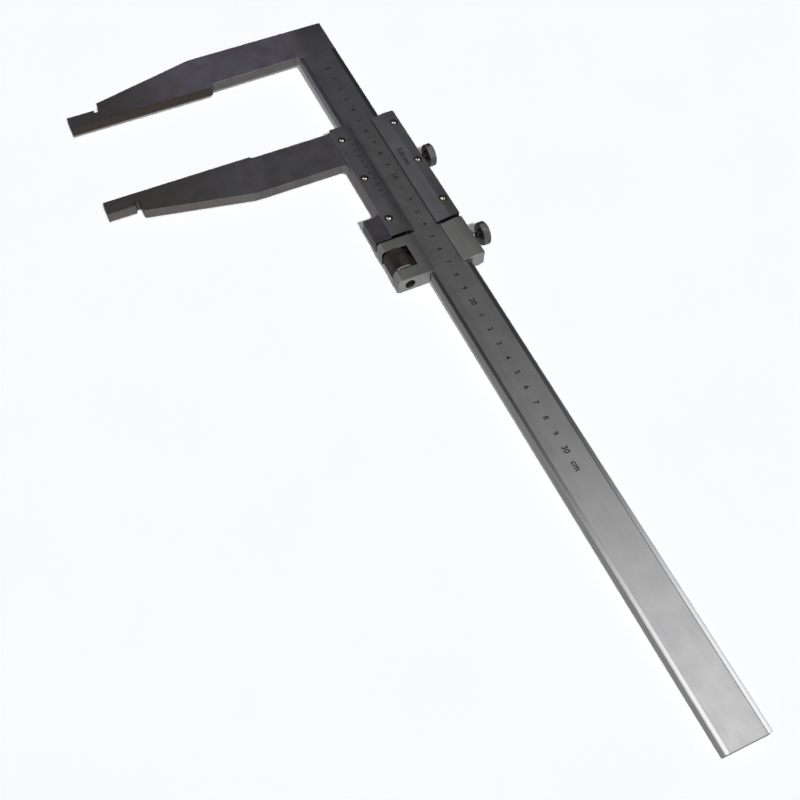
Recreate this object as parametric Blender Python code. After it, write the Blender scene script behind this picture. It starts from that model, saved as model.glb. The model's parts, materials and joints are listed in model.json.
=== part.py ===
"""Vernier caliper, 300 mm by 0.02 mm, with long jaws and a fine-adjustment clamp.

+X runs along the beam, away from the jaws. +Y runs across it, away from the jaw tips. +Z is the way
the graduated face looks. The origin is the middle of the fixed jaw's measuring face. The pieces are
drawn from beam_frame, which lies on the beam's back, on its centreline, in that face's plane.
"""

import math

import bmesh
import bpy
from mathutils import Matrix, Vector

MM = 0.001
GAP = 0.3 * MM
CUT_OVERRUN = 1 * MM
ARC_STEP = math.radians(15)

# Beam
BEAM_WIDTH = 24.3 * MM
BEAM_THICKNESS = 6 * MM
BEAM_END_X = 469.1 * MM
BEAM_LAND = 2.3 * MM
BEAM_RECESS = 0.25 * MM
RECESS_START_X = -2.5 * MM

# Jaws. Each is drawn from its measuring face outwards.
JAW_TIP_Y = -159.3 * MM
JAW_TAPER_Y = -76.5 * MM
JAW_SHOULDER_Y = -139.7 * MM
JAW_SHOULDER_WIDTH = 14.8 * MM
FIXED_JAW_WIDTH = 29.1 * MM
MOVING_JAW_WIDTH = 28.3 * MM
PAD_END_Y = -71.2 * MM
NIB_WIDTH = 10 * MM
NIB_RADIUS = 9 * MM
NIB_ROOT_Y = -142.6 * MM
NIB_NOTCH = 2.6 * MM

# Slider, measured from the moving jaw's measuring face
REST_OPENING = 64.7 * MM
FRAME_X = (0.7 * MM, 91 * MM)
FRAME_Y = (-21.3 * MM, 20.8 * MM)
FRAME_BACK_Z = -4 * MM
GIB_THICKNESS = 0.65 * MM
PLATE_TOP_Z = 8.5 * MM
VERNIER_PLATE_X = (0.9 * MM, 90.8 * MM)
VERNIER_EDGE_Y = -7.3 * MM
VERNIER_BEVEL_Y = -11.6 * MM
VERNIER_EDGE_THICKNESS = 0.35 * MM
COVER_PLATE_X = (0.7 * MM, 91.3 * MM)
COVER_EDGE_Y = 6.6 * MM
COVER_RIDGE_Y = 15 * MM
COVER_EDGE_THICKNESS = 1 * MM
PLATE_SCREWS = 3
PLATE_SCREW_PITCH = 33.25 * MM
VERNIER_SCREW_START = (11.6 * MM, -17.3 * MM)
VERNIER_SLOT_TURNS = (62, 68, 51)
COVER_SCREW_START = (10.4 * MM, 17.1 * MM)
COVER_SLOT_TURNS = (71, 58, 79)
PLATE_SCREW_RADIUS = 1.25 * MM
PLATE_SCREW_HEAD_RADIUS = 1.95 * MM
PLATE_SCREW_BOTTOM_Z = 1.6 * MM
COUNTERBORE_DEPTH = 1 * MM
GIB_SCREW_X = (24 * MM, 62 * MM)
SET_SCREW_RADIUS = 1.5 * MM
SLIDER_LOCK_X = 38.6 * MM
SLIDER_KNOB_Y = 24.9 * MM
EAR_X = (72.3 * MM, 90.5 * MM)
EAR_SIDE_Y = -30.8 * MM
EAR_BACK_Z = -1.5 * MM
EAR_SET_SCREW_X = 81.4 * MM

# Fine adjustment. The clamp is measured from its own jaw-side face, at CLAMP_X on the slider.
CLAMP_X = 93 * MM
CLAMP_LENGTH = 28.8 * MM
CLAMP_Y = (-31.3 * MM, 20.8 * MM)
CLAMP_Z = (-1.8 * MM, 8.3 * MM)
CLAMP_LIP_Y = (-9.2 * MM, 7.8 * MM)
CLAMP_RIDGE_Y = (-13.5 * MM, 15.5 * MM)
WINDOW_X = (6.6 * MM, 21.5 * MM)
WINDOW_Y = -16.6 * MM
ADJUSTING_AXIS = (-24.3 * MM, 3.1 * MM)
ADJUSTING_SCREW_X = (75 * MM, 118 * MM)
ADJUSTING_SCREW_RADIUS = 2 * MM
CLAMP_SCREW_CLEARANCE = 0.7 * MM
NUT_RADIUS = 6.9 * MM
CLAMP_LOCK_X = 12.6 * MM
CLAMP_BOSS_RADIUS = 3.2 * MM
CLAMP_BOSS_Y = 22.4 * MM
CLAMP_KNOB_Y = 26.05 * MM

# Lock screws
LOCK_SCREW_RADIUS = 2 * MM
LOCK_PAD_THICKNESS = 1.6 * MM
KNOB_RADIUS = 6.8 * MM
KNOB_THICKNESS = 4.4 * MM

HALF_BEAM = BEAM_WIDTH / 2
MID_BEAM_Z = BEAM_THICKNESS / 2
PAD_CENTRE_Y = (JAW_TIP_Y + PAD_END_Y) / 2
PLATE_BOTTOM_Z = BEAM_THICKNESS + GAP
CHANNEL_Y = (-HALF_BEAM - GAP, HALF_BEAM + GAP + GIB_THICKNESS + GAP)
CHANNEL_Z = -GAP


def clear_scene():
    for obj in list(bpy.data.objects):
        bpy.data.objects.remove(obj)


def material(name, colour, roughness, metallic=1.0):
    made = bpy.data.materials.new(name)
    made.use_nodes = True
    surface = made.node_tree.nodes["Principled BSDF"]
    surface.inputs["Base Color"].default_value = (*colour, 1)
    surface.inputs["Roughness"].default_value = roughness
    surface.inputs["Metallic"].default_value = metallic
    made.diffuse_color = (*colour, 1)
    return made


def empty(name, location, parent=None):
    made = bpy.data.objects.new(name, None)
    bpy.context.scene.collection.objects.link(made)
    made.parent = parent
    made.location = location
    made.empty_display_size = 10 * MM
    return made


def add_object(name, form, surface=None, parent=None, location=(0, 0, 0)):
    """Makes an object from a bmesh. Without a material it is a helper for a Boolean."""
    bmesh.ops.recalc_face_normals(form, faces=form.faces)
    mesh = bpy.data.meshes.new(name)
    form.to_mesh(mesh)
    form.free()
    made = bpy.data.objects.new(name, mesh)
    bpy.context.scene.collection.objects.link(made)
    made.parent = parent
    made.location = location
    if surface:
        mesh.materials.append(surface)
        mesh.shade_smooth()
        mesh.set_sharp_from_angle(angle=math.radians(30))
    else:
        made.hide_render = True
        made.display_type = "WIRE"
    return made


def combine(target, helper, operation="DIFFERENCE"):
    modifier = target.modifiers.new(helper.name, "BOOLEAN")
    modifier.operation = operation
    modifier.solver = "EXACT"
    modifier.object = helper


def drill(target, axis, radius, span, location):
    """Cuts a hole that clears a shank of this radius."""
    form = rod(axis, radius + GAP, *span, segments=24)
    combine(target, add_object(target.name + "_hole", form, None, target.parent, location))


def rounded(corners):
    """The outline through corners of (x, y, radius), with an arc at each corner that has a radius."""
    outline = []
    for i, (x, y, radius) in enumerate(corners):
        corner = Vector((x, y))
        before = (Vector(corners[i - 1][:2]) - corner).normalized()
        after = (Vector(corners[(i + 1) % len(corners)][:2]) - corner).normalized()
        if not radius:
            outline.append(corner)
            continue
        half_angle = before.angle(after) / 2
        centre = corner + (before + after).normalized() * radius / math.sin(half_angle)
        start = corner + before * radius / math.tan(half_angle) - centre
        turn = start.angle_signed(corner + after * radius / math.tan(half_angle) - centre)
        steps = max(1, round(abs(turn) / ARC_STEP))
        for step in range(steps + 1):
            outline.append(centre + Matrix.Rotation(-turn * step / steps, 2) @ start)
    return outline


def prism(outline, start, end, axis="Z"):
    """A bmesh of an outline extruded along axis. An X prism's outline holds (y, z) points, a Y prism's
    (x, z) points and a Z prism's (x, y) points."""
    place = {
        "X": lambda point, along: (along, point[0], point[1]),
        "Y": lambda point, along: (point[0], along, point[1]),
        "Z": lambda point, along: (point[0], point[1], along),
    }[axis]
    form = bmesh.new()
    base = form.faces.new([form.verts.new(place(point, start)) for point in outline])
    moved = bmesh.ops.extrude_face_region(form, geom=[base], use_keep_orig=True)
    top = [item for item in moved["geom"] if isinstance(item, bmesh.types.BMVert)]
    shift = Vector(place((0, 0), end - start))
    bmesh.ops.translate(form, verts=top, vec=shift)
    return form


def box(x, y, z):
    return prism([(x[0], y[0]), (x[1], y[0]), (x[1], y[1]), (x[0], y[1])], *z)


def turned(profile, axis, segments=32):
    """A bmesh turned from (radius, distance along the axis) points. A profile whose ends have radius 0
    makes a solid, and a closed one makes a ring."""
    along = {"X": Vector((1, 0, 0)), "Y": Vector((0, 1, 0)), "Z": Vector((0, 0, 1))}[axis]
    across = Vector((0, 0, 1)) if axis != "Z" else Vector((1, 0, 0))
    form = bmesh.new()
    points = [form.verts.new(across * radius + along * distance) for radius, distance in profile]
    rim = [form.edges.new(pair) for pair in zip(points, points[1:])]
    if profile[0][0] > 0:
        rim.append(form.edges.new((points[-1], points[0])))
    bmesh.ops.spin(
        form,
        geom=points + rim,
        axis=along,
        cent=(0, 0, 0),
        angle=math.tau,
        steps=segments,
        use_merge=True,
    )
    bmesh.ops.remove_doubles(form, verts=form.verts, dist=1e-7)
    return form


def rod(axis, radius, start, end, chamfer=0.0, segments=32):
    side = [(radius, start + chamfer), (radius, end - chamfer)]
    if chamfer:
        side = [(radius - chamfer, start), *side, (radius - chamfer, end)]
    return turned([(0, start), *side, (0, end)], axis, segments)


def jaw_end(outwards):
    """The tip of a jaw from its shoulder round to the end of its pad, where outwards is -1 or 1."""
    notch_x = NIB_WIDTH - NIB_NOTCH
    corners = [
        (JAW_SHOULDER_WIDTH, JAW_SHOULDER_Y, 1.2 * MM),
        (notch_x, JAW_SHOULDER_Y - 0.4 * MM, 0.8 * MM),
        (notch_x, NIB_ROOT_Y, 0.8 * MM),
        (NIB_WIDTH, NIB_ROOT_Y - 0.2 * MM, 0),
        (NIB_WIDTH, JAW_TIP_Y, 0.3 * MM),
        (0, JAW_TIP_Y, 0.3 * MM),
        (0, PAD_END_Y, 0.3 * MM),
    ]
    return [(outwards * x, y, radius) for x, y, radius in corners]


def round_nib(jaw, outwards, parent):
    """Cuts the nib's outer side to the arc that touches the inside of a bore."""
    half_angle = math.asin((MID_BEAM_Z + CUT_OVERRUN) / NIB_RADIUS)
    outline = [(outwards * (NIB_WIDTH + 2 * MM), MID_BEAM_Z + side) for side in (5 * MM, -5 * MM)]
    steps = 10
    for step in range(steps + 1):
        angle = half_angle * (2 * step / steps - 1)
        x = NIB_WIDTH - NIB_RADIUS + NIB_RADIUS * math.cos(angle)
        outline.append((outwards * x, MID_BEAM_Z + NIB_RADIUS * math.sin(angle)))
    form = prism(outline, NIB_ROOT_Y + 0.5 * MM, JAW_TIP_Y - CUT_OVERRUN, "Y")
    combine(jaw, add_object(jaw.name + "_nib_cutter", form, parent=parent))


def make_beam(parent, steel):
    relief_corner = (-4 * MM, -HALF_BEAM, 1.5 * MM)
    corners = [
        (BEAM_END_X, HALF_BEAM, 0.4 * MM),
        (-FIXED_JAW_WIDTH, HALF_BEAM, 0.6 * MM),
        (-FIXED_JAW_WIDTH, JAW_TAPER_Y, 12 * MM),
        *jaw_end(-1),
        (-3 * MM, PAD_END_Y + 1.4 * MM, 0.3 * MM),
        relief_corner,
        (BEAM_END_X, -HALF_BEAM, 0.4 * MM),
    ]
    beam = add_object("beam", prism(rounded(corners), 0, BEAM_THICKNESS), steel, parent)
    round_nib(beam, -1, parent)
    recess_half = HALF_BEAM - BEAM_LAND
    recess = box(
        (RECESS_START_X, BEAM_END_X + CUT_OVERRUN),
        (-recess_half, recess_half),
        (BEAM_THICKNESS - BEAM_RECESS, BEAM_THICKNESS + CUT_OVERRUN),
    )
    combine(beam, add_object("beam_recess_cutter", recess, parent=parent))


def moving_jaw():
    """The moving jaw, run into the slider's wall."""
    root_y = FRAME_Y[0] + 4 * MM
    corners = [
        *jaw_end(1),
        (1.3 * MM, PAD_END_Y + 1.2 * MM, 0.3 * MM),
        (1.3 * MM, FRAME_Y[0] + 0.2 * MM, 0),
        (3.5 * MM, root_y, 0),
        (33 * MM, root_y, 0),
        (33 * MM, FRAME_Y[0] + 0.1 * MM, 0),
        (MOVING_JAW_WIDTH, FRAME_Y[0] + 0.1 * MM, 3.5 * MM),
        (MOVING_JAW_WIDTH, JAW_TAPER_Y, 12 * MM),
    ]
    return prism(rounded(corners), 0, BEAM_THICKNESS)


def ear():
    """The ear that holds the adjusting screw, run into the slider's wall."""
    root_y = FRAME_Y[0] + 4 * MM
    fillet = 3 * MM
    corners = [
        (EAR_X[0], EAR_SIDE_Y, 1 * MM),
        (EAR_X[1], EAR_SIDE_Y, 0.4 * MM),
        (EAR_X[1], root_y, 0),
        (EAR_X[0] - fillet - 1 * MM, root_y, 0),
        (EAR_X[0] - fillet - 1 * MM, FRAME_Y[0] + 0.1 * MM, 0),
        (EAR_X[0], FRAME_Y[0] + 0.1 * MM, fillet),
    ]
    return prism(rounded(corners), EAR_BACK_Z, BEAM_THICKNESS)


def screw_places(start):
    return [(start[0] + i * PLATE_SCREW_PITCH, start[1]) for i in range(PLATE_SCREWS)]


def make_slider_frame(parent, steel):
    channel = [
        (FRAME_Y[0], FRAME_BACK_Z, 1 * MM),
        (FRAME_Y[1], FRAME_BACK_Z, 1 * MM),
        (FRAME_Y[1], BEAM_THICKNESS, 0),
        (CHANNEL_Y[1], BEAM_THICKNESS, 0),
        (CHANNEL_Y[1], CHANNEL_Z, 0),
        (CHANNEL_Y[0], CHANNEL_Z, 0),
        (CHANNEL_Y[0], BEAM_THICKNESS, 0),
        (FRAME_Y[0], BEAM_THICKNESS, 0),
    ]
    frame = add_object("slider_frame", prism(rounded(channel), *FRAME_X, "X"), steel, parent)
    combine(frame, add_object("moving_jaw_form", moving_jaw(), parent=parent), "UNION")
    combine(frame, add_object("ear_form", ear(), parent=parent), "UNION")
    round_nib(frame, 1, parent)

    into_wall = (PLATE_SCREW_BOTTOM_Z - GAP, BEAM_THICKNESS + CUT_OVERRUN)
    for x, y in screw_places(VERNIER_SCREW_START) + screw_places(COVER_SCREW_START):
        drill(frame, "Z", PLATE_SCREW_RADIUS, into_wall, (x, y, 0))
    through_wall = (CHANNEL_Y[1] - CUT_OVERRUN, FRAME_Y[1] + CUT_OVERRUN)
    for x in GIB_SCREW_X:
        drill(frame, "Y", SET_SCREW_RADIUS, through_wall, (x, 0, MID_BEAM_Z))
    drill(frame, "Y", LOCK_SCREW_RADIUS, through_wall, (SLIDER_LOCK_X, 0, MID_BEAM_Z))
    into_ear = (ADJUSTING_SCREW_X[0] - GAP, EAR_X[1] + CUT_OVERRUN)
    drill(frame, "X", ADJUSTING_SCREW_RADIUS, into_ear, (0, *ADJUSTING_AXIS))
    from_ear_back = (EAR_BACK_Z - CUT_OVERRUN, ADJUSTING_AXIS[1])
    drill(frame, "Z", SET_SCREW_RADIUS, from_ear_back, (EAR_SET_SCREW_X, ADJUSTING_AXIS[0], 0))


def round_corner(form, x, y, radius):
    """Rounds the upright edge of a prism that stands at (x, y)."""
    at_corner = [
        edge
        for edge in form.edges
        if all((vert.co.xy - Vector((x, y))).length < GAP / 10 for vert in edge.verts)
    ]
    bmesh.ops.bevel(form, geom=at_corner, offset=radius, segments=4, profile=0.5, affect="EDGES")


def make_plate(name, x_span, profile, corners, screw_start, surface, parent):
    """A plate of one (y, z) profile, with a counterbored hole for each of its screws."""
    form = prism(profile, *x_span, "X")
    for x, y, radius in corners:
        round_corner(form, x, y, radius)
    plate = add_object(name, form, surface, parent)
    bottom, top = PLATE_BOTTOM_Z - CUT_OVERRUN, PLATE_TOP_Z + CUT_OVERRUN
    floor = PLATE_TOP_Z - COUNTERBORE_DEPTH
    shank, head = PLATE_SCREW_RADIUS + GAP, PLATE_SCREW_HEAD_RADIUS + GAP
    hole = [(0, bottom), (shank, bottom), (shank, floor), (head, floor), (head, top), (0, top)]
    for x, y in screw_places(screw_start):
        combine(plate, add_object(name + "_hole", turned(hole, "Z", 24), None, parent, (x, y, 0)))


def make_plates(parent, surface):
    side, edge = FRAME_Y[0], VERNIER_EDGE_Y
    vernier = [
        (side, PLATE_BOTTOM_Z),
        (edge, PLATE_BOTTOM_Z),
        (edge, PLATE_BOTTOM_Z + VERNIER_EDGE_THICKNESS),
        (VERNIER_BEVEL_Y, PLATE_TOP_Z),
        (side, PLATE_TOP_Z),
    ]
    corners = [(VERNIER_PLATE_X[0], side, 1.5 * MM), (VERNIER_PLATE_X[1], side, 0.6 * MM)]
    make_plate("vernier_plate", VERNIER_PLATE_X, vernier, corners, VERNIER_SCREW_START, surface, parent)
    side, edge = FRAME_Y[1], COVER_EDGE_Y
    cover = [
        (side, PLATE_BOTTOM_Z),
        (edge, PLATE_BOTTOM_Z),
        (edge, PLATE_BOTTOM_Z + COVER_EDGE_THICKNESS),
        (COVER_RIDGE_Y, PLATE_TOP_Z),
        (side, PLATE_TOP_Z),
    ]
    corners = [(COVER_PLATE_X[0], side, 1.2 * MM), (COVER_PLATE_X[1], side, 1.2 * MM)]
    make_plate("cover_plate", COVER_PLATE_X, cover, corners, COVER_SCREW_START, surface, parent)


def slotted(screw, axis, radius, end, width, depth, parent, turn=0):
    """Cuts a driver slot, turned by this many degrees, across the end of a screw whose origin is on
    its axis."""
    half = {name: (-radius * 1.2, radius * 1.2) for name in "XYZ"}
    half["X"] = (-width / 2, width / 2)
    outwards = math.copysign(1, end[1] - end[0])
    half[axis] = tuple(sorted((end[1] - outwards * depth, end[1] + outwards * CUT_OVERRUN)))
    slot = box(half["X"], half["Y"], half["Z"])
    cutter = add_object(screw.name + "_slot", slot, None, parent, screw.location)
    cutter.rotation_euler["XYZ".index(axis)] = math.radians(turn)
    combine(screw, cutter)


def make_plate_screws(parent, surface):
    """Screws with low domed heads, in the plates' counterbores."""
    head_z = PLATE_TOP_Z - COUNTERBORE_DEPTH + GAP
    dome_z = PLATE_TOP_Z + 0.1 * MM
    dome_height = 0.6 * MM
    dome_radius = (PLATE_SCREW_HEAD_RADIUS**2 + dome_height**2) / (2 * dome_height)
    profile = [
        (0, PLATE_SCREW_BOTTOM_Z),
        (PLATE_SCREW_RADIUS, PLATE_SCREW_BOTTOM_Z),
        (PLATE_SCREW_RADIUS, head_z),
        (PLATE_SCREW_HEAD_RADIUS, head_z),
    ]
    steps = 6
    for step in range(steps + 1):
        radius = PLATE_SCREW_HEAD_RADIUS * math.cos(math.pi / 2 * step / steps)
        rise = math.sqrt(dome_radius**2 - radius**2) - dome_radius + dome_height
        profile.append((radius, dome_z + rise))
    rows = {
        "vernier": (VERNIER_SCREW_START, VERNIER_SLOT_TURNS),
        "cover": (COVER_SCREW_START, COVER_SLOT_TURNS),
    }
    head = (head_z, dome_z + dome_height)
    for plate, (start, turns) in rows.items():
        for i, (x, y) in enumerate(screw_places(start)):
            form = turned(profile, "Z", 24)
            screw = add_object(f"{plate}_screw_{i + 1}", form, surface, parent, (x, y, 0))
            slotted(screw, "Z", PLATE_SCREW_HEAD_RADIUS, head, 0.6 * MM, 0.8 * MM, parent, turns[i])


def make_gib(name, length, parent, surface):
    """The leaf between a frame and the beam's edge, which a lock screw presses on."""
    y = HALF_BEAM + GAP
    form = box((1 * MM, length - 1 * MM), (y, y + GIB_THICKNESS), (GAP, BEAM_THICKNESS - GAP))
    add_object(name, form, surface, parent)


def make_gib_screws(parent, surface):
    start = CHANNEL_Y[1]
    end = FRAME_Y[1] - 1.2 * MM
    for i, x in enumerate(GIB_SCREW_X):
        form = rod("Y", SET_SCREW_RADIUS, start, end, 0.3 * MM, 24)
        screw = add_object(f"gib_screw_{i + 1}", form, surface, parent, (x, 0, MID_BEAM_Z))
        slotted(screw, "Y", SET_SCREW_RADIUS, (start, end), 0.5 * MM, 0.8 * MM, parent)


def make_lock(name, x, knob_y, parent, surface, brass):
    """A lock screw and the pad that it pushes against the gib, each with its origin on their axis."""
    pad_start = CHANNEL_Y[1]
    pad_end = pad_start + LOCK_PAD_THICKNESS
    joint = empty(name, (x, pad_start, MID_BEAM_Z), parent)
    pad = rod("Y", LOCK_SCREW_RADIUS, 0, LOCK_PAD_THICKNESS, 0.2 * MM, 24)
    add_object(name + "_pad", pad, brass, joint)
    tip = pad_end + GAP - pad_start
    under = knob_y - pad_start
    top = under + KNOB_THICKNESS
    edge = 0.5 * MM
    face = 4.2 * MM
    profile = [
        (0, tip),
        (LOCK_SCREW_RADIUS - edge, tip),
        (LOCK_SCREW_RADIUS, tip + edge),
        (LOCK_SCREW_RADIUS, under),
        (KNOB_RADIUS - edge, under),
        (KNOB_RADIUS, under + edge),
        (KNOB_RADIUS, top - edge),
        (KNOB_RADIUS - edge, top),
        (face, top),
        (face - edge, top - edge),
        (0, top - edge),
    ]
    add_object(name + "_screw", turned(profile, "Y", 48), surface, joint)


def make_adjusting_screw(parent, surface):
    form = rod("X", ADJUSTING_SCREW_RADIUS, *ADJUSTING_SCREW_X, 0.5 * MM)
    add_object("adjusting_screw", form, surface, parent, (0, *ADJUSTING_AXIS))
    start = EAR_BACK_Z + 0.3 * MM
    end = ADJUSTING_AXIS[1] - ADJUSTING_SCREW_RADIUS - GAP
    form = rod("Z", SET_SCREW_RADIUS, start, end, 0.2 * MM, 24)
    location = (EAR_SET_SCREW_X, ADJUSTING_AXIS[0], 0)
    screw = add_object("adjusting_screw_set_screw", form, surface, parent, location)
    slotted(screw, "Z", SET_SCREW_RADIUS, (end, start), 0.5 * MM, 0.6 * MM, parent)


def make_clamp(parent, steel):
    """The clamp frame: a C round the beam, with a window for the nut and a boss for the lock screw."""
    lip_thickness = 0.7 * MM
    outline = [
        (CLAMP_Y[0], CLAMP_Z[0], 1 * MM),
        (CLAMP_Y[1] - 2.5 * MM, CLAMP_Z[0], 0.5 * MM),
        (CLAMP_Y[1], CLAMP_Z[0] + 1.5 * MM, 0.5 * MM),
        (CLAMP_Y[1], CLAMP_Z[1], 0.3 * MM),
        (CLAMP_RIDGE_Y[1], CLAMP_Z[1] + 0.2 * MM, 0),
        (CLAMP_LIP_Y[1], PLATE_BOTTOM_Z + lip_thickness, 0),
        (CLAMP_LIP_Y[1], PLATE_BOTTOM_Z, 0),
        (CHANNEL_Y[1], PLATE_BOTTOM_Z, 0),
        (CHANNEL_Y[1], CHANNEL_Z, 0),
        (CHANNEL_Y[0], CHANNEL_Z, 0),
        (CHANNEL_Y[0], PLATE_BOTTOM_Z, 0),
        (CLAMP_LIP_Y[0], PLATE_BOTTOM_Z, 0),
        (CLAMP_LIP_Y[0], PLATE_BOTTOM_Z + lip_thickness, 0),
        (CLAMP_RIDGE_Y[0], CLAMP_Z[1], 0),
        (CLAMP_Y[0], CLAMP_Z[1], 2.5 * MM),
    ]
    clamp = add_object("clamp_frame", prism(rounded(outline), 0, CLAMP_LENGTH, "X"), steel, parent)
    boss = rod("Y", CLAMP_BOSS_RADIUS, CLAMP_Y[1] - CUT_OVERRUN, CLAMP_BOSS_Y, 0, 24)
    place = (CLAMP_LOCK_X, 0, MID_BEAM_Z)
    combine(clamp, add_object("clamp_boss", boss, None, parent, place), "UNION")
    window = box(
        WINDOW_X,
        (CLAMP_Y[0] - CUT_OVERRUN, WINDOW_Y),
        (CLAMP_Z[0] - CUT_OVERRUN, CLAMP_Z[1] + CUT_OVERRUN),
    )
    combine(clamp, add_object("clamp_window", window, parent=parent))
    through_wall = (CHANNEL_Y[1] - CUT_OVERRUN, CLAMP_BOSS_Y + CUT_OVERRUN)
    drill(clamp, "Y", LOCK_SCREW_RADIUS, through_wall, place)
    along = (-CUT_OVERRUN, CLAMP_LENGTH + CUT_OVERRUN)
    drill(clamp, "X", ADJUSTING_SCREW_RADIUS + CLAMP_SCREW_CLEARANCE, along, (0, *ADJUSTING_AXIS))


def make_nut(parent, surface):
    start, end = WINDOW_X[0] + GAP, WINDOW_X[1] - GAP
    bore = ADJUSTING_SCREW_RADIUS + GAP
    chamfer = 0.6 * MM
    profile = [
        (bore, start),
        (NUT_RADIUS - chamfer, start),
        (NUT_RADIUS, start + chamfer),
        (NUT_RADIUS, end - chamfer),
        (NUT_RADIUS - chamfer, end),
        (bore, end),
    ]
    add_object("adjusting_nut", turned(profile, "X", 48), surface, parent, (0, *ADJUSTING_AXIS))


def main():
    clear_scene()
    steel = material("satin_steel", (0.33, 0.33, 0.34), 0.38)
    plate_steel = material("plate_steel", (0.25, 0.25, 0.27), 0.36)
    screw_steel = material("screw_steel", (0.42, 0.4, 0.33), 0.25)
    knurled_steel = material("knurled_steel", (0.3, 0.3, 0.3), 0.4)
    black_steel = material("blackened_steel", (0.06, 0.055, 0.06), 0.42)
    spring_steel = material("spring_steel", (0.4, 0.4, 0.42), 0.3)
    brass = material("brass", (0.62, 0.46, 0.2), 0.35)

    beam = empty("beam_frame", (0, -PAD_CENTRE_Y, -MID_BEAM_Z))
    slider = empty("slider", (REST_OPENING, 0, 0), beam)
    clamp = empty("clamp", (CLAMP_X, 0, 0), slider)

    make_beam(beam, steel)
    make_slider_frame(slider, steel)
    make_plates(slider, plate_steel)
    make_plate_screws(slider, screw_steel)
    make_gib("slider_gib", FRAME_X[1], slider, spring_steel)
    make_gib_screws(slider, screw_steel)
    make_lock("slider_lock", SLIDER_LOCK_X, SLIDER_KNOB_Y, slider, knurled_steel, brass)
    make_adjusting_screw(slider, spring_steel)
    make_clamp(clamp, steel)
    make_gib("clamp_gib", CLAMP_LENGTH, clamp, spring_steel)
    make_lock("clamp_lock", CLAMP_LOCK_X, CLAMP_KNOB_Y, clamp, knurled_steel, brass)
    make_nut(clamp, black_steel)


main()
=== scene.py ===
"""Vernier caliper: edges, scales, knurls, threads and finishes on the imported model, in a plain studio.

Lengths are in metres and places are the frame's. X runs along the beam from the fixed jaw's measuring
face, Y across it and away from the jaws' tips, and Z up out of the scale.
"""

import json
import math

import bmesh
import bpy
from mathutils import Matrix, Vector

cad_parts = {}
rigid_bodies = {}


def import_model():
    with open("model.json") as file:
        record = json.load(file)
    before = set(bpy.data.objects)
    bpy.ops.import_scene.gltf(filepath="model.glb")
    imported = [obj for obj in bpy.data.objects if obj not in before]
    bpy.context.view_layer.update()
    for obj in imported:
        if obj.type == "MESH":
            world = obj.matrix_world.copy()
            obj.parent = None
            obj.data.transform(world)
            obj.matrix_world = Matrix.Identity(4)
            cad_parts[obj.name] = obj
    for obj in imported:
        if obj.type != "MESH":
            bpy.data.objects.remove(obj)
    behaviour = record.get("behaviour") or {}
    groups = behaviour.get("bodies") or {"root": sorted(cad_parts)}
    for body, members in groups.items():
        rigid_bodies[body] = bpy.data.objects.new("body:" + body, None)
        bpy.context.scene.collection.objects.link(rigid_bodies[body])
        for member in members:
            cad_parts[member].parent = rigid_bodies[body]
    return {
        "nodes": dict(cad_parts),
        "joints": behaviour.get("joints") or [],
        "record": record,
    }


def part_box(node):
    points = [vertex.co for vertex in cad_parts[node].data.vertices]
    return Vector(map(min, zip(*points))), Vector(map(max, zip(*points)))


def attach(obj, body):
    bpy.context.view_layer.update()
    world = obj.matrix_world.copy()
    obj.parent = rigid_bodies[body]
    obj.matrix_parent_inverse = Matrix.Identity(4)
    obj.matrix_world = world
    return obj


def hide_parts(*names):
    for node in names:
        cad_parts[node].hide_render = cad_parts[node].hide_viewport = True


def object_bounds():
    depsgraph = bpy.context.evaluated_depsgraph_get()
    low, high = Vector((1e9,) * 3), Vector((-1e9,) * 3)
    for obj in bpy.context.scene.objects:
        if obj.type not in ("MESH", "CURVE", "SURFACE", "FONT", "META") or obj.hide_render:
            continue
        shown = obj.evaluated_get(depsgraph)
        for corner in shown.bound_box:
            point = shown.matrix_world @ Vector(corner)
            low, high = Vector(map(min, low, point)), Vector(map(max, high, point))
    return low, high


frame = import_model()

MM = 0.001
CAD_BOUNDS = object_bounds()
MOUNTS = {mount["name"]: Vector(mount["pos_m"]) for mount in frame["record"]["mounts"]}
JOINTS = {joint["name"]: joint for joint in frame["joints"]}

# Beam and jaws: the beam's centreline is at BEAM_Y, and the jaws leave its edge at ROOT_Y
BEAM_LOW, BEAM_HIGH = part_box("beam")
HALF_BEAM = 12.15 * MM
BEAM_Y = BEAM_HIGH.y - HALF_BEAM
ROOT_Y = BEAM_Y - HALF_BEAM
LAND_WIDTH = 2.3 * MM
RECESS_DEPTH = 0.25 * MM
RECESS_START_X = -2.5 * MM
PAD_END_Y = BEAM_Y - 71.2 * MM
NIB_ROOT_Y = BEAM_Y - 142.6 * MM
NIB_NOTCH = 2.6 * MM

# Slider, plates and clamp
SLIDER_X = MOUNTS["moving_jaw_face"].x
EAR_START_X = SLIDER_X + 72.3 * MM
EAR_ROOT_Y = BEAM_Y - 21.3 * MM
PLATES_END_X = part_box("vernier_plate")[1].x
VERNIER_EDGE_Y = BEAM_Y - 7.3 * MM
VERNIER_BEVEL_Y = BEAM_Y - 11.6 * MM
VERNIER_EDGE_THICKNESS = 0.35 * MM
COVER_EDGE_Y = BEAM_Y + 6.6 * MM
COVER_RIDGE_Y = BEAM_Y + 15 * MM
COVER_EDGE_THICKNESS = 1 * MM
SCREW_BORE_RADIUS = 2.25 * MM
WINDOW_Y = BEAM_Y - 16.6 * MM
WINDOW_START = 6.6 * MM
WINDOW_LENGTH = 14.9 * MM
CLAMP_HOLE_RADIUS = 2.7 * MM

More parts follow.
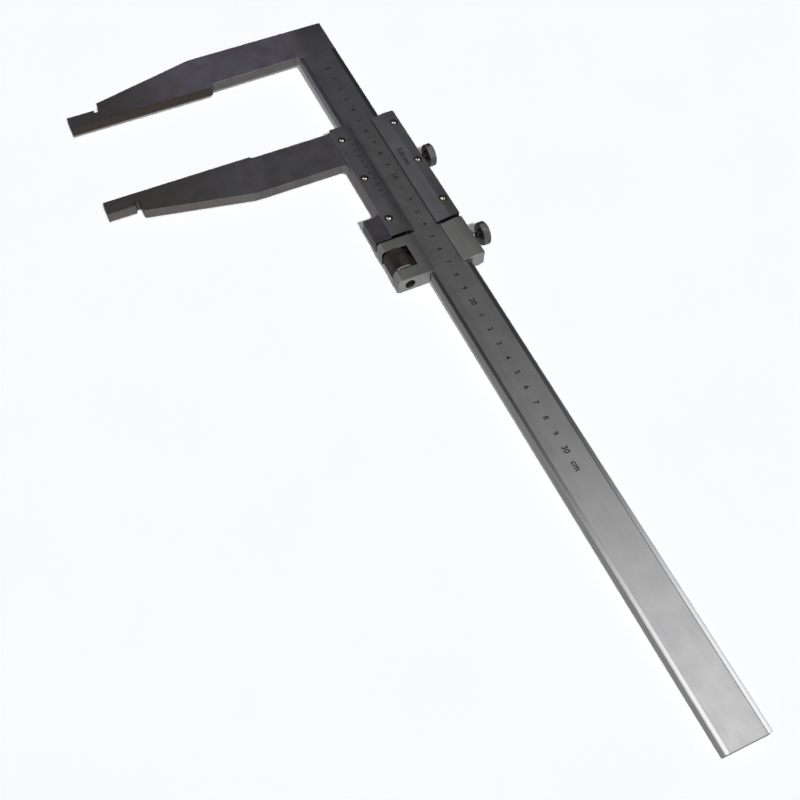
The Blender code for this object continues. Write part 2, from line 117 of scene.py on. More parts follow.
# Scales
SCALE_ZERO_X = 12.75 * MM
SCALE_CENTIMETRES = 30
NUMERAL_Y = 0.15 * MM
NUMERAL_HEIGHT = 2.9 * MM
NUMERAL_BOLDNESS = 0.028
FONT_NUMERAL_SHARE = 0.73
LINE_WIDTH = 0.075 * MM
LINE_LENGTHS = (4.2 * MM, 5.1 * MM, 6.1 * MM)
LINE_GAP = 0.1 * MM
VERNIER_ZERO_X = SLIDER_X + SCALE_ZERO_X
VERNIER_STEP = 0.98 * MM
VERNIER_DIVISIONS = 50
VERNIER_NUMERAL_HEIGHT = 2.1 * MM
VERNIER_LINE_SHARES = (0.52, 0.68, 0.84)
READING_X = SLIDER_X + 37.9 * MM
INK_THICKNESS = 0.015 * MM

# Screws and nut
SLOT_TURNS = {"vernier": (62, 68, 51), "cover": (71, 58, 79)}
SLOT_WIDTH = 0.6 * MM
SLOT_DEPTH = 0.8 * MM
HEAD_RISE = 0.6 * MM
THREAD_PITCH = 0.7 * MM
THREAD_DEPTH = 0.38 * MM
KNOB_THICKNESS = 4.4 * MM
KNOB_TEETH = 44
KNOB_KNURL_DEPTH = 0.28 * MM
NUT_TEETH = 60
NUT_KNURL_DEPTH = 0.25 * MM

# Finishes
SMOOTH_ANGLE = math.radians(25)
GRAIN_SIZE = 0.16 * MM
GRAIN_STRETCH = (60, 1, 1)
GRAIN_DEPTH = 0.004 * MM
MARK_DEPTH = 0.003 * MM
SMALL_PATCH = 4 * MM
SMALL_EDGE = 0.06 * MM
PLATE_LIGHT = (0.475, 0.468, 0.5)
PLATE_DARK = (0.435, 0.428, 0.46)

# Studio
FLOOR_RADIUS = 1.2
SKY_RADIUS = 1.8
SUN_DIRECTION = (0.85, -0.03, 1.0)
WORLD_DARK = 0.045
# What polished steel sees round the lamps: a direction, from where and up to where on it the light
# grows, and how bright it gets
WORLD_SIDES = (
    ((0.7, -0.3, -0.65), -0.7, 1.3, 0.52),
    ((-0.2, -0.75, 0.63), 0.35, 1.1, 0.32),
)
CAMERA_PLACE = (0.513886, -0.0765, 0.461615)
CAMERA_RIGHT = Vector((0.42202, 0.90643, 0.01720))
CAMERA_DOWN = Vector((0.76937, -0.34804, -0.53566))
CAMERA_FORWARD = Vector((-0.47955, 0.23929, -0.84426))


# ---------------------------------------------------------------- nodes


class Nodes:
    """A node tree, with short ways to add the nodes used here. A value is a number or a socket."""

    def __init__(self, tree):
        self.tree = tree

    def feed(self, socket, value):
        if isinstance(value, bpy.types.NodeSocket):
            self.tree.links.new(value, socket)
        else:
            socket.default_value = value

    def node(self, kind, sockets=None, **settings):
        made = self.tree.nodes.new(kind)
        for key, value in settings.items():
            setattr(made, key, value)
        for key, value in (sockets or {}).items():
            self.feed(made.inputs[key], value)
        return made

    def math(self, operation, first, second):
        return self.node("ShaderNodeMath", {0: first, 1: second}, operation=operation).outputs[0]

    def spread(self, value, start, end, low=0.0, high=1.0, kind="SMOOTHSTEP"):
        """Value from start to end, as low to high."""
        sockets = {0: value, 1: start, 2: end, 3: low, 4: high}
        return self.node("ShaderNodeMapRange", sockets, interpolation_type=kind).outputs[0]

    def fade(self, value, start, end):
        """1 up to start and 0 from end on."""
        return self.spread(value, start, end, 1.0, 0.0)

    def apart(self, value, middle):
        """How far the value is from a middle one."""
        return self.math("ABSOLUTE", self.math("SUBTRACT", value, middle), 0.0)

    def between(self, value, low, high, soft=0.05 * MM):
        """1 where the value is between two limits, else 0."""
        half = (high - low) / 2
        return self.fade(self.apart(value, low + half), half - soft, half + soft)

    def all_of(self, first, *others):
        """The product of several masks."""
        for other in others:
            first = self.math("MULTIPLY", first, other)
        return first

    def any_of(self, first, *others):
        """The greatest of several masks."""
        for other in others:
            first = self.math("MAXIMUM", first, other)
        return first

    def blend(self, share, first, second):
        """A number between two, by share."""
        return self.node("ShaderNodeMix", {0: share, 2: first, 3: second}).outputs[0]

    def tint(self, share, first, second, mode="MIX"):
        """A colour between two, by share."""
        colours = {
            6: first if isinstance(first, bpy.types.NodeSocket) else (*first, 1),
            7: second if isinstance(second, bpy.types.NodeSocket) else (*second, 1),
        }
        made = self.node("ShaderNodeMix", {0: share, **colours}, data_type="RGBA", blend_type=mode)
        return made.outputs[2]

    def times(self, share, colour, factor):
        """The colour times another, by share."""
        return self.tint(share, colour, factor, "MULTIPLY")


class Surface(Nodes):
    """A material's nodes. Its patterns lie in the frame's metres and move with their piece."""

    def __init__(self, name, metallic=1.0):
        self.material = bpy.data.materials.new(name)
        self.material.use_nodes = True
        super().__init__(self.material.node_tree)
        self.shader = self.tree.nodes["Principled BSDF"]
        self.shader.inputs["Metallic"].default_value = metallic
        self.place = self.node("ShaderNodeTexCoord").outputs["Object"]
        self.x, self.y, self.z = self.node("ShaderNodeSeparateXYZ", {0: self.place}).outputs

    def noise(self, size, stretch=(1, 1, 1), detail=3, shift=0):
        """Noise whose features are about this size, times stretch along each axis."""
        scale = [1 / (size * factor) for factor in stretch]
        mapped = self.node(
            "ShaderNodeMapping",
            {"Vector": self.place, "Location": [shift] * 3, "Scale": scale},
        )
        sockets = {"Vector": mapped.outputs[0], "Scale": 1.0, "Detail": detail}
        return self.node("ShaderNodeTexNoise", sockets).outputs[0]

    def off_axis(self, point, across):
        """The distance from an axis through the point, measured along the directions across it."""
        flat = self.node("ShaderNodeVectorMath", {0: self.place, 1: across}, operation="MULTIPLY")
        sockets = {0: flat.outputs[0], 1: point}
        return self.node("ShaderNodeVectorMath", sockets, operation="DISTANCE").outputs["Value"]

    def finish(self, colour, roughness, height, depth=GRAIN_DEPTH):
        """The material, with a bump of this height pattern and depth."""
        bump = self.node("ShaderNodeBump", {"Height": height, "Distance": depth, "Strength": 1.0})
        self.feed(self.shader.inputs["Base Color"], colour)
        self.feed(self.shader.inputs["Roughness"], roughness)
        self.feed(self.shader.inputs["Normal"], bump.outputs[0])
        return self.material


# ---------------------------------------------------------------- steels


def mottled(surface, light, dark, patch=14 * MM):
    """Steel whose tone drifts in soft patches, with faint stains and specks."""
    drift = surface.spread(surface.noise(patch, detail=2), 0.3, 0.7)
    colour = surface.tint(drift, dark, light)
    warm = surface.spread(surface.noise(patch * 0.6, detail=3, shift=3), 0.5, 0.75, 0.0, 0.3)
    colour = surface.times(warm, colour, (0.97, 0.99, 0.9))
    specks = surface.spread(surface.noise(0.5 * MM, detail=2, shift=11), 0.68, 0.76, 0.0, 0.35)
    return surface.times(specks, colour, (0.55, 0.53, 0.5))


def ground_steel(name, light, dark, roughness):
    """Satin steel ground along X, as a surface with its colour, roughness and grinding lines."""
    surface = Surface(name)
    fine = surface.noise(GRAIN_SIZE, GRAIN_STRETCH, detail=2)
    broad = surface.noise(GRAIN_SIZE * 5, GRAIN_STRETCH, detail=2, shift=7)
    lines = surface.blend(0.4, fine, broad)
    tone = surface.spread(lines, 0.3, 0.7, 0.9, 1.06, "LINEAR")
    colour = surface.times(1.0, mottled(surface, light, dark), tone)
    smudge = surface.noise(9 * MM, detail=4, shift=5)
    rough = surface.spread(smudge, 0.3, 0.7, roughness - 0.015, roughness + 0.015)
    return surface, colour, rough, lines


def plain_steel(name, light, dark, roughness):
    surface, colour, rough, lines = ground_steel(name, light, dark, roughness)
    return surface.finish(colour, rough, lines)


def jaw_mask(surface):
    """1 on a jaw and on the beam's head beside it."""
    head = surface.all_of(
        surface.fade(surface.x, RECESS_START_X, RECESS_START_X + 0.1 * MM),
        surface.fade(surface.y, ROOT_Y, ROOT_Y + 12 * MM),
    )
    return surface.any_of(surface.fade(surface.y, ROOT_Y - 0.5 * MM, ROOT_Y), head)


def dull_sides(surface, colour, side_root):
    """The colour, with the jaw's sides past side_root darkened as painted shade, mottled in small
    scales.
    """
    side = surface.all_of(
        surface.fade(surface.z, BEAM_HIGH.z - 0.25 * MM, BEAM_HIGH.z - 0.1 * MM),
        surface.fade(surface.y, side_root - 0.4 * MM, side_root - 0.1 * MM),
    )
    scale = surface.spread(surface.noise(0.9 * MM, detail=4, shift=4), 0.3, 0.7)
    # Painted shade: the sides are darker than the top faces, mottled in small scales.
    side_shade = surface.tint(scale, (0.225, 0.22, 0.212), (0.295, 0.29, 0.277))
    return surface.tint(side, colour, side_shade)


def jaw_finish(surface, colour, rough, lines, face_x, jaw_tone_and_sheen, side_root, crevice_shade=0.0):
    """Finishes a steel whose jaw measures at face_x. The jaw has its own tone, partly a painted sheen,
    with darker patches, sides darkened as painted shade, brown stains towards its nib and a dark lapped
    pad.
    Its notch and the crevices in the given mask are painted dark as shade."""
    jaw = jaw_mask(surface)
    # The jaw's tint is its own tone and partly a painted sheen: the fixed jaw is lighter where its grain
    # would catch the lamp.
    colour = surface.tint(jaw, colour, surface.times(1.0, colour, jaw_tone_and_sheen))
    # Painted shade on the jaw's sides.
    colour = dull_sides(surface, colour, side_root)
    patches = surface.spread(surface.noise(11 * MM, detail=5, shift=8), 0.4, 0.65, 0.0, 0.8)
    patches = surface.all_of(patches, jaw)
    colour = surface.tint(patches, colour, surface.times(1.0, colour, (0.86, 0.8, 0.8)))

    stains = surface.noise(3 * MM, detail=3)
    brown = surface.tint(stains, (0.29, 0.255, 0.24), (0.2, 0.178, 0.17))
    nib = surface.spread(surface.y, NIB_ROOT_Y - 1 * MM, NIB_ROOT_Y + 75 * MM, 0.85, 0.0)
    colour = surface.tint(nib, colour, brown)

    off_face = surface.apart(surface.x, face_x)
    # Painted shade in the notch at the nib's root.
    notch_shade = surface.all_of(
        surface.between(surface.y, NIB_ROOT_Y - 0.4 * MM, NIB_ROOT_Y + NIB_NOTCH + 0.1 * MM, 0.3 * MM),
        surface.spread(off_face, 6 * MM, 9 * MM),
    )
    colour = surface.tint(surface.any_of(notch_shade, crevice_shade), colour, (0.09, 0.085, 0.08))

    pad = surface.all_of(
        surface.fade(off_face, 0.12 * MM, 0.3 * MM),
        surface.fade(surface.y, PAD_END_Y - 0.3 * MM, PAD_END_Y),
    )
    lapped = surface.tint(stains, (0.12, 0.098, 0.088), (0.085, 0.07, 0.062))
    colour = surface.tint(pad, colour, lapped)
    return surface.finish(colour, surface.blend(pad, rough, 0.3), lines)


def beam_steel():
    """The beam's steel: polished lands beside the satin graduated face. The lands' colour is a painted
    reflection, darkest along the scale and bright past it, and painted shade darkens the recess's
    corners, its step by the head and the head's corner by the jaw."""
    surface, colour, rough, lines = ground_steel(
        "beam_steel", (0.525, 0.525, 0.53), (0.485, 0.485, 0.495), 0.4
    )
    x, y = surface.x, surface.y
    off_middle = surface.apart(y, BEAM_Y)
    past_head = surface.spread(x, RECESS_START_X, RECESS_START_X + 0.3 * MM)
    land_start = HALF_BEAM - LAND_WIDTH
    polish = surface.all_of(
        surface.spread(off_middle, land_start - 0.05 * MM, land_start + 0.05 * MM),
        surface.fade(off_middle, HALF_BEAM - 0.6 * MM, HALF_BEAM - 0.5 * MM),
        surface.spread(surface.z, BEAM_HIGH.z - 0.12 * MM, BEAM_HIGH.z - 0.06 * MM),
        past_head,
    )
    rough = surface.blend(polish, rough, 0.28)
    lines = surface.blend(polish, lines, 0.5)

    # Painted reflection on the polished lands: dark along the scale, bright past it, lighter by the
    # head.
    near_head = surface.all_of(
        surface.fade(x, 20 * MM, 110 * MM),
        surface.fade(y, ROOT_Y + 3 * MM, ROOT_Y + 6 * MM),
    )
    along_scale = surface.fade(x, 230 * MM, 400 * MM)
    land_sheen = surface.tint(along_scale, (0.57, 0.57, 0.575), (0.3, 0.3, 0.305))
    land_sheen = surface.tint(near_head, land_sheen, (0.58, 0.57, 0.6))
    colour = surface.tint(surface.all_of(polish, 0.9), colour, land_sheen)

    # Painted shade in the recess's corners beside the lands.
    seam_shade = surface.between(off_middle, land_start - 0.2 * MM, land_start + 0.1 * MM)
    colour = surface.tint(surface.all_of(seam_shade, past_head, 0.6), colour, (0.15, 0.15, 0.15))
    # Painted shade on the recess's step by the head, in place of its highlight.
    step = surface.all_of(
        surface.between(x, RECESS_START_X - 0.2 * MM, RECESS_START_X + 0.2 * MM),
        surface.fade(off_middle, HALF_BEAM, HALF_BEAM + 0.6 * MM),
    )
    colour = surface.tint(surface.all_of(step, 0.6), colour, (0.2, 0.19, 0.2))
    cool = surface.spread(x, 20 * MM, 100 * MM, 0.85, 0.0)
    colour = surface.tint(cool, colour, surface.times(1.0, colour, (1, 0.96, 1.08)))
    # Painted shade in the head's corner by the fixed jaw.
    corner = surface.all_of(
        surface.spread(x, BEAM_LOW.x, RECESS_START_X, 0.6, 0.0),
        surface.spread(y, ROOT_Y, ROOT_Y + 14 * MM),
    )
    colour = surface.tint(corner, colour, (0.3, 0.29, 0.31))
    # The fixed jaw's lighter tint is partly a painted sheen.
    return jaw_finish(surface, colour, rough, lines, 0, (1.32, 1.29, 1.39), ROOT_Y)


def slider_steel():
    """The slider's steel, with its ear darker, painted shade on its end in the gap by the clamp, and the
    moving jaw.
    """
    surface, colour, rough, lines = ground_steel(
        "slider_steel", (0.49, 0.49, 0.5), (0.44, 0.44, 0.455), 0.41
    )
    ear = surface.all_of(
        surface.spread(surface.x, EAR_START_X - 0.8 * MM, EAR_START_X - 0.3 * MM),
        surface.fade(surface.y, EAR_ROOT_Y - 0.2 * MM, EAR_ROOT_Y),
    )
    colour = surface.tint(ear, colour, surface.times(1.0, colour, (0.7, 0.68, 0.73)))
    end_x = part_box("slider_frame")[1].x
    # Painted shade in the gap between the slider's end and the clamp.
    crevice_shade = surface.spread(surface.x, end_x - 0.8 * MM, end_x - 0.6 * MM)
    # The moving jaw's tint: its tone, partly painted sheen.
    jaw_tone_and_sheen = (0.87, 0.845, 0.905)
    return jaw_finish(surface, colour, rough, lines, SLIDER_X, jaw_tone_and_sheen, EAR_ROOT_Y, crevice_shade)


def plate_grime(surface, row):
    """1 where shade is painted: in the bores round a row of screws and on a plate's end by the clamp."""
    crevice_shade = surface.spread(surface.x, PLATES_END_X - 0.15 * MM, PLATES_END_X - 0.05 * MM)
    for number in (1, 2, 3):
        low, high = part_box(f"{row}_screw_{number}")
        middle = (low + high) / 2
        off_bore = surface.off_axis((middle.x, middle.y, 0), (1, 1, 0))
        # Painted shade in the bore round the screw's head.
        bore_shade = surface.fade(off_bore, SCREW_BORE_RADIUS + 0.05 * MM, SCREW_BORE_RADIUS + 0.2 * MM)
        crevice_shade = surface.any_of(crevice_shade, bore_shade)
    return crevice_shade


def grimy_finish(surface, colour, rough, lines, crevice_shade):
    # Painted shade, nearly black, where the mask is 1.
    colour = surface.tint(crevice_shade, colour, (0.05, 0.047, 0.045))
    return surface.finish(colour, surface.blend(crevice_shade, rough, 0.6), lines)


def vernier_steel():
    surface, colour, rough, lines = ground_steel("vernier_steel", PLATE_LIGHT, PLATE_DARK, 0.41)
    return grimy_finish(surface, colour, rough, lines, plate_grime(surface, "vernier"))


def cover_steel():
    """The cover plate's steel, with painted shade along the foot of its edge over the beam, and its flat
    darker towards the clamp."""
    surface, colour, rough, lines = ground_steel("cover_steel", PLATE_LIGHT, PLATE_DARK, 0.41)
    foot_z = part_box("cover_plate")[0].z
    # Painted shade along the foot of the cover plate's edge.
    foot = surface.all_of(
        surface.fade(surface.y, COVER_EDGE_Y + 0.05 * MM, COVER_EDGE_Y + 0.2 * MM),
        surface.fade(surface.z, foot_z + 0.5 * MM, foot_z + 0.65 * MM),
    )
    flat = surface.all_of(
        surface.spread(surface.y, COVER_RIDGE_Y - 0.5 * MM, COVER_RIDGE_Y + 0.5 * MM),
        surface.spread(surface.x, PLATES_END_X - 45 * MM, PLATES_END_X - 8 * MM, 0.0, 0.7),
    )
    colour = surface.tint(flat, colour, (0.27, 0.265, 0.285))
    crevice_shade = surface.any_of(plate_grime(surface, "cover"), foot)
    return grimy_finish(surface, colour, rough, lines, crevice_shade)


def clamp_steel():
    """The clamp's steel, with painted shade inside the nut's window and the adjusting screw's hole."""
    surface, colour, rough, lines = ground_steel(
        "clamp_steel", (0.54, 0.55, 0.535), (0.48, 0.485, 0.48), 0.42
    )
    low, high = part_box("clamp_frame")
    start = low.x + WINDOW_START
    window_shade = surface.all_of(
        surface.between(surface.x, start - 0.15 * MM, start + WINDOW_LENGTH + 0.15 * MM),
        surface.fade(surface.y, WINDOW_Y + 0.05 * MM, WINDOW_Y + 0.15 * MM),
        surface.fade(surface.z, high.z - 0.5 * MM, high.z - 0.2 * MM),
    )
    axis_point = (0, *JOINTS["adjusting_nut_spin"]["pos_m"][1:])
    off_hole = surface.off_axis(axis_point, (0, 1, 1))
    hole_shade = surface.fade(off_hole, CLAMP_HOLE_RADIUS + 0.02 * MM, CLAMP_HOLE_RADIUS + 0.08 * MM)
    colour = surface.tint(surface.any_of(window_shade, hole_shade), colour, (0.07, 0.065, 0.06))
    return surface.finish(colour, rough, lines)


def nut_steel():
    """The nut's blackened steel, worn bright on the chamfers at its ends."""
    surface = Surface("blackened_steel")
    low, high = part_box("adjusting_nut")
    ends = surface.any_of(
        surface.fade(surface.x, low.x + 0.3 * MM, low.x + 0.6 * MM),
        surface.spread(surface.x, high.x - 0.6 * MM, high.x - 0.3 * MM),
    )
    rubbed = surface.spread(surface.noise(1.5 * MM, detail=4, shift=6), 0.35, 0.5)
    worn = surface.all_of(ends, rubbed)
    colour = mottled(surface, (0.17, 0.137, 0.142), (0.11, 0.092, 0.096), SMALL_PATCH)
    colour = surface.tint(worn, colour, (0.5, 0.485, 0.46))
    marks = surface.noise(0.5 * MM, detail=3)
    return surface.finish(colour, surface.blend(worn, 0.38, 0.28), marks, MARK_DEPTH)


def edge_steel():
    """The rubbed edges, brighter and smoother than the faces beside them."""
    surface = Surface("edge_steel")
    rub = surface.spread(surface.noise(4 * MM, detail=4), 0.35, 0.65)
    colour = surface.tint(rub, (0.46, 0.46, 0.47), (0.6, 0.6, 0.6))
    marks = surface.noise(0.4 * MM, detail=3)
    return surface.finish(colour, surface.blend(rub, 0.4, 0.28), marks, 0.001 * MM)


def turned_finish(surface, colour, roughness):
    """Finishes metal cut on a lathe, with fine marks and smudges."""
    marks = surface.noise(0.12 * MM, (8, 8, 8), detail=3)
    smudge = surface.noise(2 * MM, detail=3, shift=9)
    rough = surface.spread(smudge, 0.3, 0.7, roughness - 0.06, roughness + 0.08)
    return surface.finish(colour, rough, marks, MARK_DEPTH)


def turned_metal(name, light, dark, roughness):
    surface = Surface(name)
    return turned_finish(surface, mottled(surface, light, dark, SMALL_PATCH), roughness)


def knob_steel(name):
    """A lock screw's steel, with dirt in its knurl and painted shade on the face behind its head."""
    surface = Surface(name + "_steel")
    colour = mottled(surface, (0.31, 0.3, 0.285), (0.19, 0.18, 0.17), SMALL_PATCH)
    dirt = surface.spread(surface.noise(1.2 * MM, detail=4, shift=2), 0.5, 0.68, 0.0, 0.8)
    colour = surface.tint(dirt, colour, (0.12, 0.11, 0.1))
    head_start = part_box(name)[1].y - KNOB_THICKNESS
    # Painted shade on the head's inner face, towards the slider.
    behind_shade = surface.spread(surface.y, head_start + 0.1 * MM, head_start + 0.5 * MM, 0.85, 0.0)
    colour = surface.tint(behind_shade, colour, (0.07, 0.06, 0.065))
    return turned_finish(surface, colour, 0.34)


def head_steel():
    """The plate screws' bright steel, with painted shade towards the rims of their domes."""
    surface = Surface("screw_steel")
    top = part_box("vernier_screw_1")[1].z
    colour = mottled(surface, (0.8, 0.76, 0.66), (0.62, 0.57, 0.47), SMALL_PATCH)
    rim_shade = surface.fade(surface.z, top - 0.34 * MM, top - 0.26 * MM)
    colour = surface.tint(rim_shade, colour, (0.16, 0.14, 0.11))
    marks = surface.noise(1 * MM, detail=3)
    return surface.finish(colour, surface.blend(rim_shade, 0.12, 0.3), marks, MARK_DEPTH)


def ink():
    """The black in the engraved lines and numerals, worn thin in places."""
    surface = Surface("scale_ink", metallic=0.0)
    surface.shader.inputs["Specular IOR Level"].default_value = 0.15
    wear = surface.spread(surface.noise(0.5 * MM, detail=4), 0.5, 0.75)
    colour = surface.tint(wear, (0.014, 0.014, 0.016), (0.04, 0.04, 0.04))
    return surface.finish(colour, surface.blend(wear, 0.7, 0.55), wear, MARK_DEPTH)


# ---------------------------------------------------------------- CAD nodes


def finish_node(name, surface, width, edge=None):
    """Gives a CAD node its material, and rounded edges of this width, in a material of their own or
    the same."""
    node = frame["nodes"][name]
    node.data.shade_smooth()
    if "custom_normal" in node.data.attributes:
        node.data.attributes.remove(node.data.attributes["custom_normal"])
    node.material_slots[0].link = "OBJECT"
    node.material_slots[0].material = surface
    weld = node.modifiers.new("weld", "WELD")
    weld.merge_threshold = 0.001 * MM
    flat = node.modifiers.new("flat", "DECIMATE")
    flat.decimate_type = "DISSOLVE"
    flat.angle_limit = math.radians(0.5)
    bevel = node.modifiers.new("edges", "BEVEL")
    bevel.width = width
    bevel.segments = 2
    bevel.limit_method = "ANGLE"
    bevel.angle_limit = SMOOTH_ANGLE
    if edge:
        node.data.materials.append(edge)
        bevel.material = 1
    normals = node.modifiers.new("normals", "WEIGHTED_NORMAL")
    normals.weight = 100
    normals.keep_sharp = False


def finish_cad_nodes():
    edge = edge_steel()
    finish_node("beam", beam_steel(), 0.05 * MM, edge)
    finish_node("slider_frame", slider_steel(), 0.12 * MM, edge)
    finish_node("clamp_frame", clamp_steel(), 0.2 * MM, edge)
    finish_node("vernier_plate", vernier_steel(), 0.1 * MM)
    finish_node("cover_plate", cover_steel(), 0.1 * MM)

    set_screw = turned_metal("set_screw_steel", (0.4, 0.38, 0.36), (0.28, 0.265, 0.25), 0.34)
    for name in ("gib_screw_1", "gib_screw_2", "adjusting_screw_set_screw"):
        finish_node(name, set_screw, SMALL_EDGE)
    spring = plain_steel("spring_steel", (0.6, 0.6, 0.6), (0.52, 0.52, 0.53), 0.3)
    for name in ("slider_gib", "clamp_gib"):
        finish_node(name, spring, SMALL_EDGE)
    brass = turned_metal("machined_brass", (0.75, 0.56, 0.26), (0.6, 0.44, 0.2), 0.34)
    for name in ("slider_lock_pad", "clamp_lock_pad"):
        finish_node(name, brass, SMALL_EDGE)


# ---------------------------------------------------------------- new pieces


def new_piece(name, form, surface, body, replaced=()):
    """Makes a piece from a bmesh in the frame's places, which may replace CAD nodes."""
    mesh = bpy.data.meshes.new(name)
    form.to_mesh(mesh)
    form.free()
    mesh.materials.append(surface)
    mesh.shade_smooth()
    mesh.set_sharp_from_angle(angle=SMOOTH_ANGLE)
    piece = bpy.data.objects.new(name, mesh)
    bpy.context.scene.collection.objects.link(piece)
    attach(piece, body)
    if replaced:
        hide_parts(*replaced)
    return piece


# ---------------------------------------------------------------- scales


def glyphs(text, height):
    """A flat mesh of the text, its numerals this high, centred on the origin and facing +Z."""
    curve = bpy.data.curves.new("glyph", "FONT")
    curve.body = text
    curve.size = height / FONT_NUMERAL_SHARE
    curve.offset = NUMERAL_BOLDNESS * height
    curve.align_x = "CENTER"
    curve.align_y = "CENTER"
    curve.resolution_u = 4
    curve.extrude = INK_THICKNESS / 2
    holder = bpy.data.objects.new("glyph", curve)
    mesh = bpy.data.meshes.new_from_object(holder)
    bpy.data.objects.remove(holder)
    bpy.data.curves.remove(curve)
    return mesh


class Engraving:
    """Inked lines and numerals on one plane, from a place on it and the direction of its up."""

    def __init__(self, origin, up=Vector((0, 1, 0))):
        along = Vector((1, 0, 0))
        out = along.cross(up).normalized()
        self.form = bmesh.new()
        self.plane = Matrix.Translation(origin) @ Matrix((along, up, out)).transposed().to_4x4()

    def write(self, text, x, y, height):
        mesh = glyphs(text, height)
        mesh.transform(self.plane @ Matrix.Translation((x, y, INK_THICKNESS / 2)))
        self.form.from_mesh(mesh)
        bpy.data.meshes.remove(mesh)

    def rule(self, x, y, length):
        """A line that starts at (x, y) and runs along up."""
        left = x - LINE_WIDTH / 2
        right = x + LINE_WIDTH / 2
        corners = [(left, y), (right, y), (right, y + length), (left, y + length)]
        place = [self.plane @ Vector((*corner, INK_THICKNESS)) for corner in corners]
        foot = [self.plane @ Vector((*corner, 0)) for corner in corners]
        top = [self.form.verts.new(point) for point in place]
        low = [self.form.verts.new(point) for point in foot]
        self.form.faces.new(top)
        for i in range(4):
            self.form.faces.new((low[i - 1], low[i], top[i], top[i - 1]))

    def make(self, name, surface, body):
        return new_piece(name, self.form, surface, body)


def line_rank(number):
    """0 for a short line, 1 for each fifth and 2 for each tenth."""
    return (number % 5 == 0) + (number % 10 == 0)


def make_main_scale(surface):
    """Millimetre lines along one side of the beam's recess, and a numeral for each centimetre."""
    scale = Engraving(Vector((SCALE_ZERO_X, BEAM_Y, BEAM_HIGH.z - RECESS_DEPTH)))
    start = LAND_WIDTH - HALF_BEAM + LINE_GAP
    for millimetre in range(10 * SCALE_CENTIMETRES + 1):
        scale.rule(millimetre * MM, start, LINE_LENGTHS[line_rank(millimetre)])
    for centimetre in range(SCALE_CENTIMETRES + 1):
        text = str(centimetre % 10 or centimetre)
        height = NUMERAL_HEIGHT * (1.15 if len(text) > 1 else 1)
        scale.write(text, 10 * MM * centimetre, NUMERAL_Y, height)
    scale.write("cm", 10 * MM * (SCALE_CENTIMETRES + 1), NUMERAL_Y, 1.2 * NUMERAL_HEIGHT)
    scale.make("main_scale", surface, "beam")


def make_vernier_scale(surface):
    """Lines on the vernier plate's bevel and numerals on its flat."""
    low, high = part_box("vernier_plate")
    edge = Vector((0, VERNIER_EDGE_Y, low.z + VERNIER_EDGE_THICKNESS))
    ridge = Vector((0, VERNIER_BEVEL_Y, high.z))
    slope = edge - ridge
    reach = slope.length
    scale = Engraving(Vector((VERNIER_ZERO_X, ridge.y, ridge.z)), slope.normalized())
    for division in range(VERNIER_DIVISIONS + 1):
        length = VERNIER_LINE_SHARES[line_rank(division)] * reach
        scale.rule(division * VERNIER_STEP, reach - length, length - 0.05 * MM)
    scale.make("vernier_scale", surface, "slider")
    numerals = Engraving(Vector((VERNIER_ZERO_X, VERNIER_BEVEL_Y - 1.5 * MM, ridge.z)))
    for numeral in range(11):
        numerals.write(str(numeral % 10), numeral * 5 * VERNIER_STEP, 0, VERNIER_NUMERAL_HEIGHT)
    numerals.make("vernier_numerals", surface, "slider")


def make_reading_mark(surface):
    """The vernier's reading, on the cover plate's slope."""
    low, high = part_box("cover_plate")
    edge = Vector((READING_X, COVER_EDGE_Y, low.z + COVER_EDGE_THICKNESS))
    ridge = Vector((READING_X, COVER_RIDGE_Y, high.z))
    mark = Engraving((edge + ridge) / 2, (ridge - edge).normalized())
    mark.write("0.02 mm", 0, 0, NUMERAL_HEIGHT)
    mark.make("reading_mark", surface, "slider")


# ---------------------------------------------------------------- screws and nut


def turn(profile, origin, axis, segments, relief=None):
    """A bmesh turned round an axis through origin from (radius, distance) points, with its ends
    filled. relief gives how far the surface stands out at an angle, a distance and a radius."""
    axis = Vector(axis)
    side = axis.orthogonal().normalized()
    other = axis.cross(side)
    form = bmesh.new()
    rings = []
    for radius, distance in profile:
        ring = []
        for i in range(segments):
            angle = math.tau * i / segments
            reach = radius + (relief(angle, distance, radius) if relief else 0)
            across = side * math.cos(angle) + other * math.sin(angle)
            ring.append(form.verts.new(Vector(origin) + axis * distance + across * reach))
        rings.append(ring)
    for low, high in zip(rings, rings[1:]):
        for i in range(segments):
            form.faces.new((low[i - 1], low[i], high[i], high[i - 1]))
    form.faces.new(rings[0])
    form.faces.new(rings[-1][::-1])
    bmesh.ops.recalc_face_normals(form, faces=form.faces)
    return form


def triangle_wave(phase):
    """From 0 to 1 and back, once for each whole phase."""
    return 1 - abs(2 * (phase % 1) - 1)


def steps(start, end, size):
    """Numbers from start to end, about this far apart."""
    count = max(1, round((end - start) / size))
    return [start + (end - start) * i / count for i in range(count + 1)]


def thread(angle, distance):
    """How far a thread's groove cuts in, as a relief."""
    return -THREAD_DEPTH * triangle_wave(distance / THREAD_PITCH - angle / math.tau)


def cut(form, cutter):
    """The bmesh with the cutter's taken away, and its edges slightly rounded."""
    holders = []
    for part in (form, cutter):
        mesh = bpy.data.meshes.new("cut")
        part.to_mesh(mesh)
        part.free()
        holders.append(bpy.data.objects.new("cut", mesh))
        bpy.context.scene.collection.objects.link(holders[-1])
    boolean = holders[0].modifiers.new("cut", "BOOLEAN")
    boolean.object = holders[1]
    boolean.solver = "EXACT"
    round_off = holders[0].modifiers.new("round", "BEVEL")
    round_off.width = 0.05 * MM
    round_off.segments = 2
    round_off.angle_limit = math.radians(40)
    evaluated = holders[0].evaluated_get(bpy.context.evaluated_depsgraph_get())
    result = bmesh.new()
    result.from_mesh(evaluated.to_mesh())
    for holder in holders:
        mesh = holder.data
        bpy.data.objects.remove(holder)
        bpy.data.meshes.remove(mesh)
    return result


